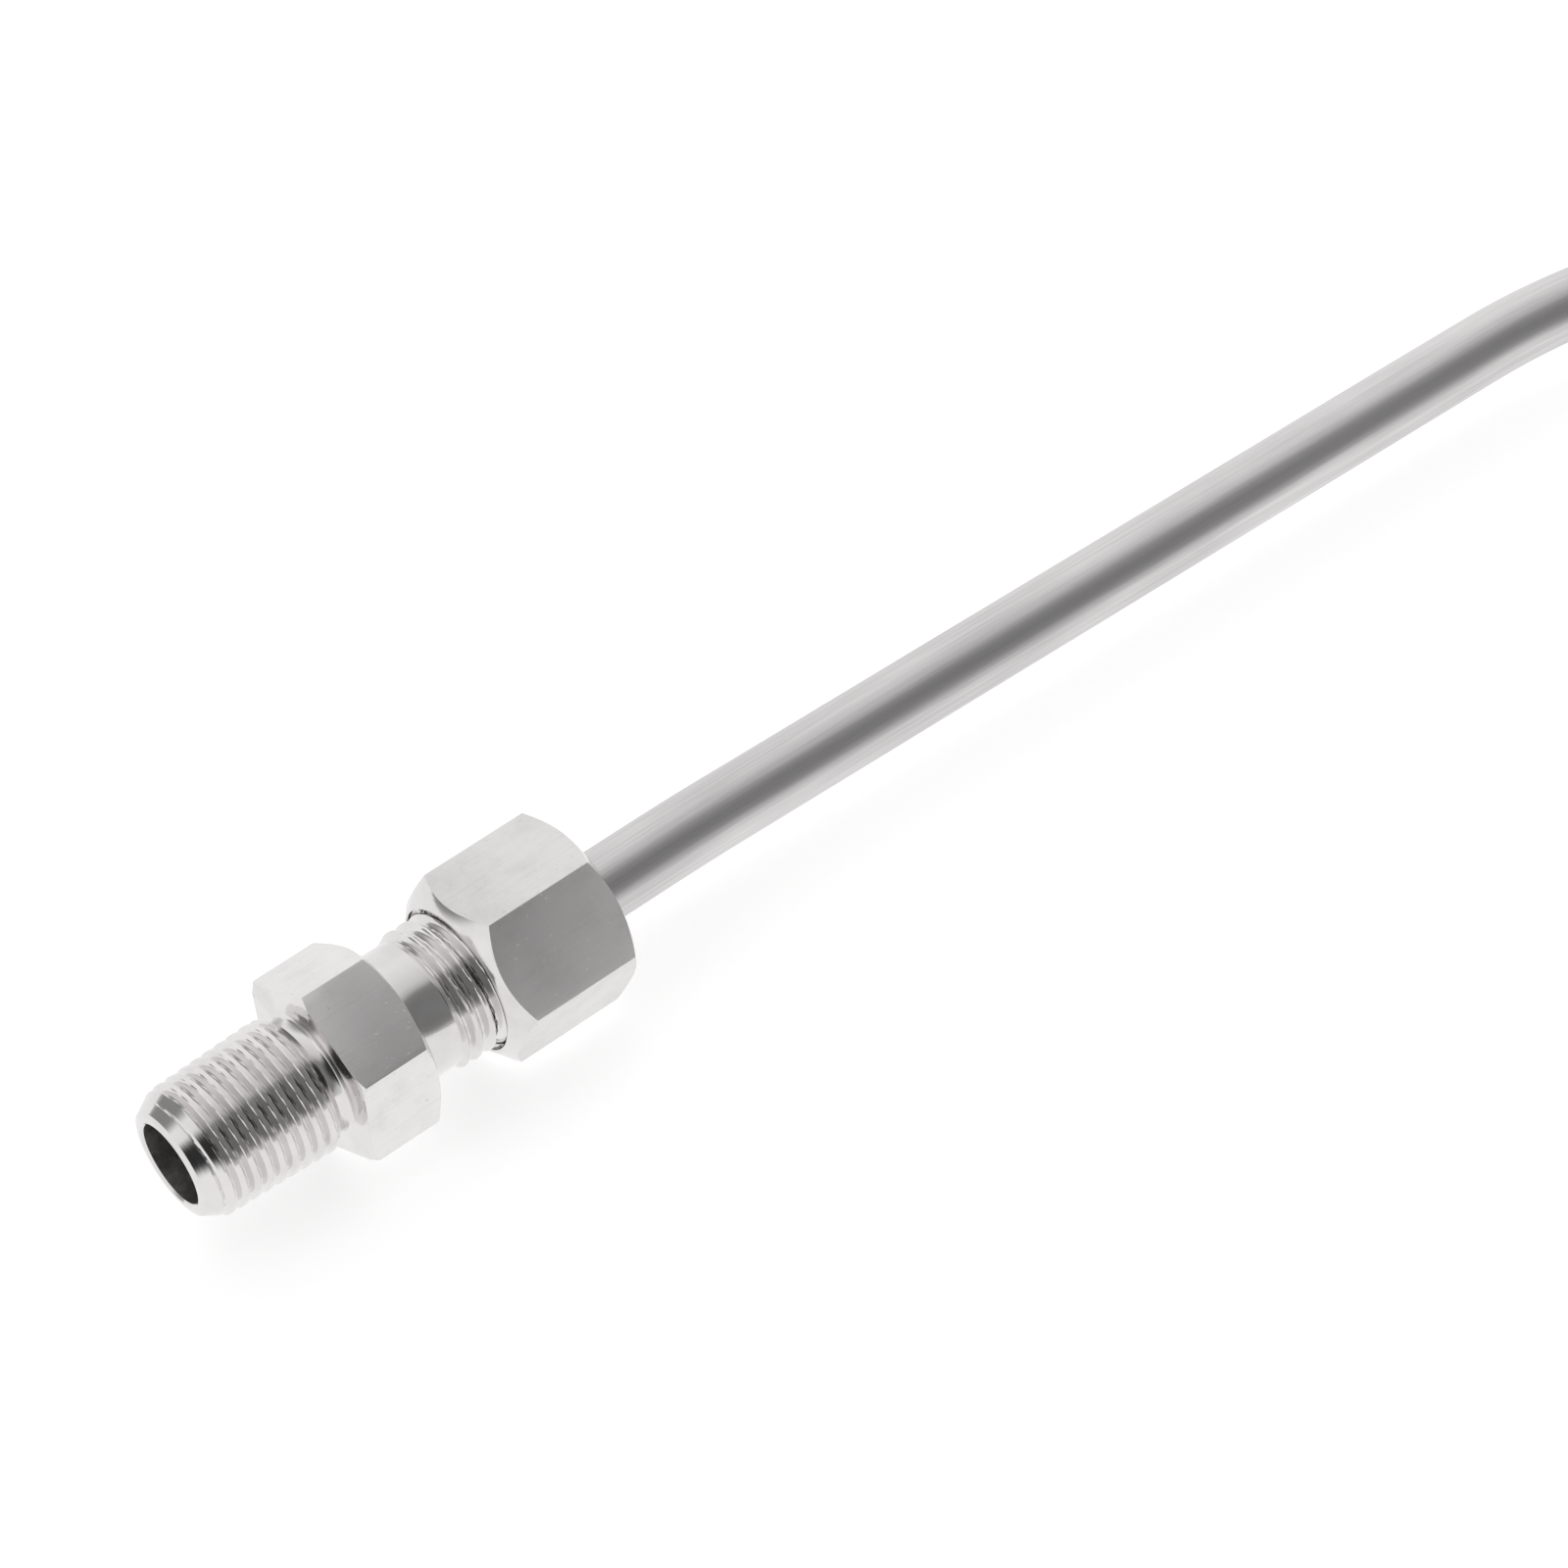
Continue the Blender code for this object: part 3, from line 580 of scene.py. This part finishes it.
# Camera: fitted to the photograph, for an image 1600 pixels wide
view = {
    "azimuth": math.radians(-39.92), "elevation": math.radians(50.757), "distance": 439.49 * mm,
    "right": 41.708 * mm, "up": 25.548 * mm, "focalPixels": 5063.6, "imagePixels": 1600.0,
    "sensor": 36.0, "nearest": 10.0 * mm,
}


def placeCamera():
    azimuth, elevation = view["azimuth"], view["elevation"]
    level = math.cos(elevation)
    back = Vector((math.sin(azimuth) * level, -math.cos(azimuth) * level, math.sin(elevation)))
    right = Vector((0.0, 0.0, 1.0)).cross(back).normalized()
    up = back.cross(right)
    lens = bpy.data.cameras.new("photoLens")
    lens.sensor_width = view["sensor"]
    lens.lens = view["focalPixels"] / view["imagePixels"] * view["sensor"]
    lens.clip_start = view["nearest"]
    camera = bpy.data.objects.new("photoCamera", lens)
    turn = Matrix((right, up, back)).transposed().to_4x4()
    place = back * view["distance"] + right * view["right"] + up * view["up"]
    camera.matrix_world = Matrix.Translation(place) @ turn
    bpy.context.scene.collection.objects.link(camera)
    bpy.context.scene.camera = camera


# Stage: pale floor under the lowest corner, and a white tent with darker sides
stage = {
    "floorSize": 3.0, "floorDrop": 0.05 * mm, "floorTone": 0.86, "cameraLift": 0.6, "glossyShare": 0.95,
    "cameraSide": (-0.48, -0.62, 0.62), "cameraTone": 0.03,
    "cameraSpread": (38.0, 20.0),  # degrees from the middle to the rim and to the core
    "gapSide": (-0.42, 0.80, 0.42), "gapTone": 0.3, "gapSpread": (38.0, 16.0),
    "darkSide": (0.406, -0.679, 0.612),
    "tones": [  # place 0 is opposite the dark side, place 1 is on it
        (0.0, 1.0), (0.50, 0.97), (0.70, 0.87), (0.855, 0.70),
        (0.90, 0.52), (0.93, 0.25), (0.965, 0.21), (1.0, 0.22),
    ],
}
white = (1.0, 1.0, 1.0, 1.0)


def buildFloor():
    bm = bmesh.new()
    bmesh.ops.create_grid(bm, x_segments=4, y_segments=4, size=stage["floorSize"])
    bmesh.ops.translate(bm, verts=bm.verts, vec=(0.0, 0.0, cadBox[0][2] - stage["floorDrop"]))
    mesh = bpy.data.meshes.new("floor")
    bm.to_mesh(mesh)
    bm.free()
    floor = bpy.data.objects.new("floor", mesh)
    bpy.context.scene.collection.objects.link(floor)
    material = bpy.data.materials.new("paleFloor")
    material.use_nodes = True
    tree = material.node_tree
    tree.nodes.clear()
    shop = Shop(tree)
    rays = shop.add("ShaderNodeLightPath")
    seen = Signal(shop, rays.outputs["Is Camera Ray"])
    glossy = Signal(shop, rays.outputs["Is Glossy Ray"])
    mirrored = glossy + Signal(shop, rays.outputs["Is Transmission Ray"])
    tone = (stage["floorTone"],) * 3 + (1.0,)
    matt = shop.add("ShaderNodeBsdfDiffuse", None, {"Color": tone})
    lift = shop.add("ShaderNodeEmission", None, {"Color": white, "Strength": seen * stage["cameraLift"]})
    plain = shop.add("ShaderNodeAddShader", None, {0: matt.outputs[0], 1: lift.outputs[0]})
    glow = shop.add("ShaderNodeEmission", None, {"Color": white, "Strength": 1.0})
    both = shop.add("ShaderNodeMixShader", None,
                    {0: mirrored * stage["glossyShare"], 1: plain.outputs[0], 2: glow.outputs[0]})
    shop.add("ShaderNodeOutputMaterial", None, {"Surface": both.outputs[0]})
    mesh.materials.append(material)


def facing(shop, toward, direction):
    return shop.signal("ShaderNodeVectorMath", {"operation": "DOT_PRODUCT"},
                       {0: toward, 1: Vector(direction).normalized()}, output="Value")


# 1 inside a round patch of the tent, 0 outside it
def tentPatch(shop, toward, direction, spreadDegrees):
    span = [math.cos(math.radians(degrees)) for degrees in spreadDegrees]
    return shop.between(facing(shop, toward, direction), span)


def buildTent():
    world = bpy.data.worlds.new("whiteTent")
    world.use_nodes = True
    bpy.context.scene.world = world
    tree = world.node_tree
    tree.nodes.clear()
    shop = Shop(tree)
    toward = shop.add("ShaderNodeTexCoord").outputs["Generated"]
    stops = [(place, (tone, tone, tone, 1.0)) for place, tone in stage["tones"]]
    share = facing(shop, toward, stage["darkSide"]) * 0.5 + 0.5
    tent = shop.signal("ShaderNodeValToRGB", {"stops": stops}, {"Fac": share})
    lens = tentPatch(shop, toward, stage["cameraSide"], stage["cameraSpread"])
    gap = tentPatch(shop, toward, stage["gapSide"], stage["gapSpread"])
    level = tent * (1.0 - gap) + gap * stage["gapTone"]
    level = level * (1.0 - lens) + lens * stage["cameraTone"]
    rays = shop.add("ShaderNodeLightPath")
    seen = Signal(shop, rays.outputs["Is Camera Ray"])
    strength = seen + (1.0 - seen) * level
    sky = shop.add("ShaderNodeBackground", None, {"Color": white, "Strength": strength})
    shop.add("ShaderNodeOutputWorld", None, {"Surface": sky.outputs[0]})


placeCamera()
buildFloor()
buildTent()
bpy.context.scene.view_settings.view_transform = "Standard"
print("camera, floor and light set")
